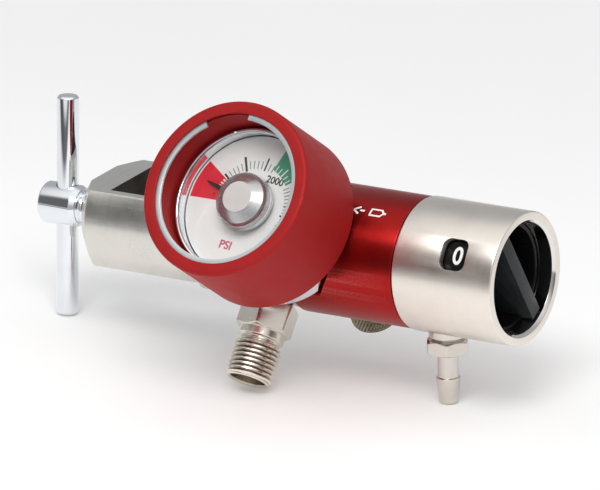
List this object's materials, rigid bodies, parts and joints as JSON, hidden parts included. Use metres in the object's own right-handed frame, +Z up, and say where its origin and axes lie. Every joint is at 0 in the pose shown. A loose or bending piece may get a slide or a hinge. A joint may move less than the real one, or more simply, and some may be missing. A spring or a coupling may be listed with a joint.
{
  "type": "carbon dioxide regulator",
  "caption": "Yoke-type gas regulator with a T-handled clamp screw, guarded pressure gauge, threaded outlet, hose barb and a turning flow selector.",
  "frame": {"origin": "middle of the bounding box's footprint, on the surface that the regulator rests on", "axes": "+Z up; +X along the body from the T-handle towards the flow selector, which leans up by 3.5 degrees; -Y is the side of the gauge and the threaded outlet"},
  "size_m": [0.1667, 0.076, 0.0896],
  "materials": {
    "nickel_on_aluminium": "nickel plated, brushed round the axis",
    "nickel_on_brass": "nickel plated, satin",
    "chrome_plate": "polished",
    "bare_brass": "machined",
    "red_anodised": "deep red anodised, turned",
    "red_satin": "red anodised, satin",
    "spring_steel": "ground",
    "black_plastic": "moulded, glossy",
    "black_ring": "moulded, satin",
    "seal_rubber": "matte",
    "sealing_washer": "matte",
    "sintered_bronze": "sintered",
    "aged_brass": "knurled, aged",
    "clear_lens": "clear",
    "dial_white": "printed, satin",
    "phosphor_bronze": "drawn",
    "seat_nylon": "moulded",
    "pointer_black": "satin"
  },
  "bodies": {
    "body": {"back_index_pin": "spring_steel", "barb_fitting": "nickel_on_brass", "barb_seal": "seal_rubber", "body_shell": "red_anodised", "boot_snap_ring": "chrome_plate", "bourdon_tube": "phosphor_bronze", "detent_spring": "spring_steel", "flow_body": "bare_brass", "flow_body_ring": "seal_rubber", "front_index_pin": "spring_steel", "gauge_bezel": "chrome_plate", "gauge_boot": "red_satin", "gauge_case": "chrome_plate", "gauge_dial": "dial_white", "gauge_hub_cap": "chrome_plate", "gauge_lens": "clear_lens", "gauge_socket": "bare_brass", "high_pressure_seat": "bare_brass", "inlet_filter": "sintered_bronze", "inlet_nipple": "bare_brass", "inlet_washer": "sealing_washer", "main_spring": "spring_steel", "movement_frame": "bare_brass", "outlet_fitting": "nickel_on_brass", "outlet_seal": "seal_rubber", "outlet_seat": "bare_brass", "outlet_spring": "spring_steel", "pointer_stop_pin": "bare_brass", "relief_spring": "spring_steel", "relief_valve_body": "aged_brass", "selector_housing": "nickel_on_aluminium", "yoke_body": "nickel_on_aluminium"},
    "thrust_pad": {"thrust_pad": "spring_steel"},
    "screw": {"yoke_screw": "chrome_plate", "t_bar": "chrome_plate"},
    "piston": {"regulating_piston": "bare_brass", "piston_seat_disc": "seat_nylon", "piston_ring": "seal_rubber", "piston_stem_ring": "seal_rubber"},
    "selector": {"selector_knob": "black_plastic", "number_ring": "black_ring", "orifice_disc": "bare_brass"},
    "detent": {"detent_ball": "spring_steel"},
    "check_poppet": {"outlet_poppet": "bare_brass"},
    "relief_poppet": {"relief_poppet": "seal_rubber"},
    "pointer": {"gauge_pointer": "pointer_black", "pointer_arbor": "bare_brass"},
    "sector": {"sector_gear": "bare_brass"}
  },
  "joints": [
    {"name": "screw_feed", "type": "slide", "parent": "body", "child": "thrust_pad", "axis": [0.9981, 0, 0.0618], "range_m": [-0.00476, 0.00698]},
    {"name": "screw_turn", "type": "hinge", "parent": "thrust_pad", "child": "screw", "pos_m": [-0.0762, 0.01815, 0.03327], "axis": [0.9981, 0, 0.0618], "range_deg": [-1080, 1584]},
    {"name": "piston_slide", "type": "slide", "parent": "body", "child": "piston", "axis": [0.9981, 0, 0.0618], "range_m": [-0.0008, 0], "stiffness_N_per_m": 3000, "deforming": ["main_spring"]},
    {"name": "selector_turn", "type": "hinge", "parent": "body", "child": "selector", "pos_m": [0.082, 0.01815, 0.04307], "axis": [0.9981, 0, 0.0618], "continuous": true},
    {"name": "detent_press", "type": "slide", "parent": "body", "child": "detent", "axis": [0.9981, 0, 0.0618], "range_m": [-0.0006, 0], "stiffness_N_per_m": 500, "deforming": ["detent_spring"]},
    {"name": "check_poppet_press", "type": "slide", "parent": "body", "child": "check_poppet", "axis": [-0.0479, 0.632, 0.7735], "range_m": [0, 0.0025], "stiffness_N_per_m": 800, "deforming": ["outlet_spring"]},
    {"name": "relief_lift", "type": "slide", "parent": "body", "child": "relief_poppet", "axis": [0.056, 0.4226, -0.9046], "range_m": [0, 0.001], "stiffness_N_per_m": 2000, "deforming": ["relief_spring"]},
    {"name": "sector_turn", "type": "hinge", "parent": "body", "child": "sector", "pos_m": [-0.00197, -0.00777, 0.05032], "axis": [-0.037, -0.8007, 0.5979], "range_deg": [0, 34.2], "stiffness_Nm_per_rad": 0.01},
    {"name": "pointer_turn", "type": "hinge", "parent": "body", "child": "pointer", "pos_m": [0.00545, -0.00988, 0.05933], "axis": [0.037, 0.8007, -0.5979], "range_deg": [0, 171]}
  ],
  "couplings": [
    {"joint": "screw_feed", "follows": "screw_turn", "m_per_rad": 0.00025266},
    {"joint": "pointer_turn", "follows": "sector_turn", "ratio": 5}
  ]
}
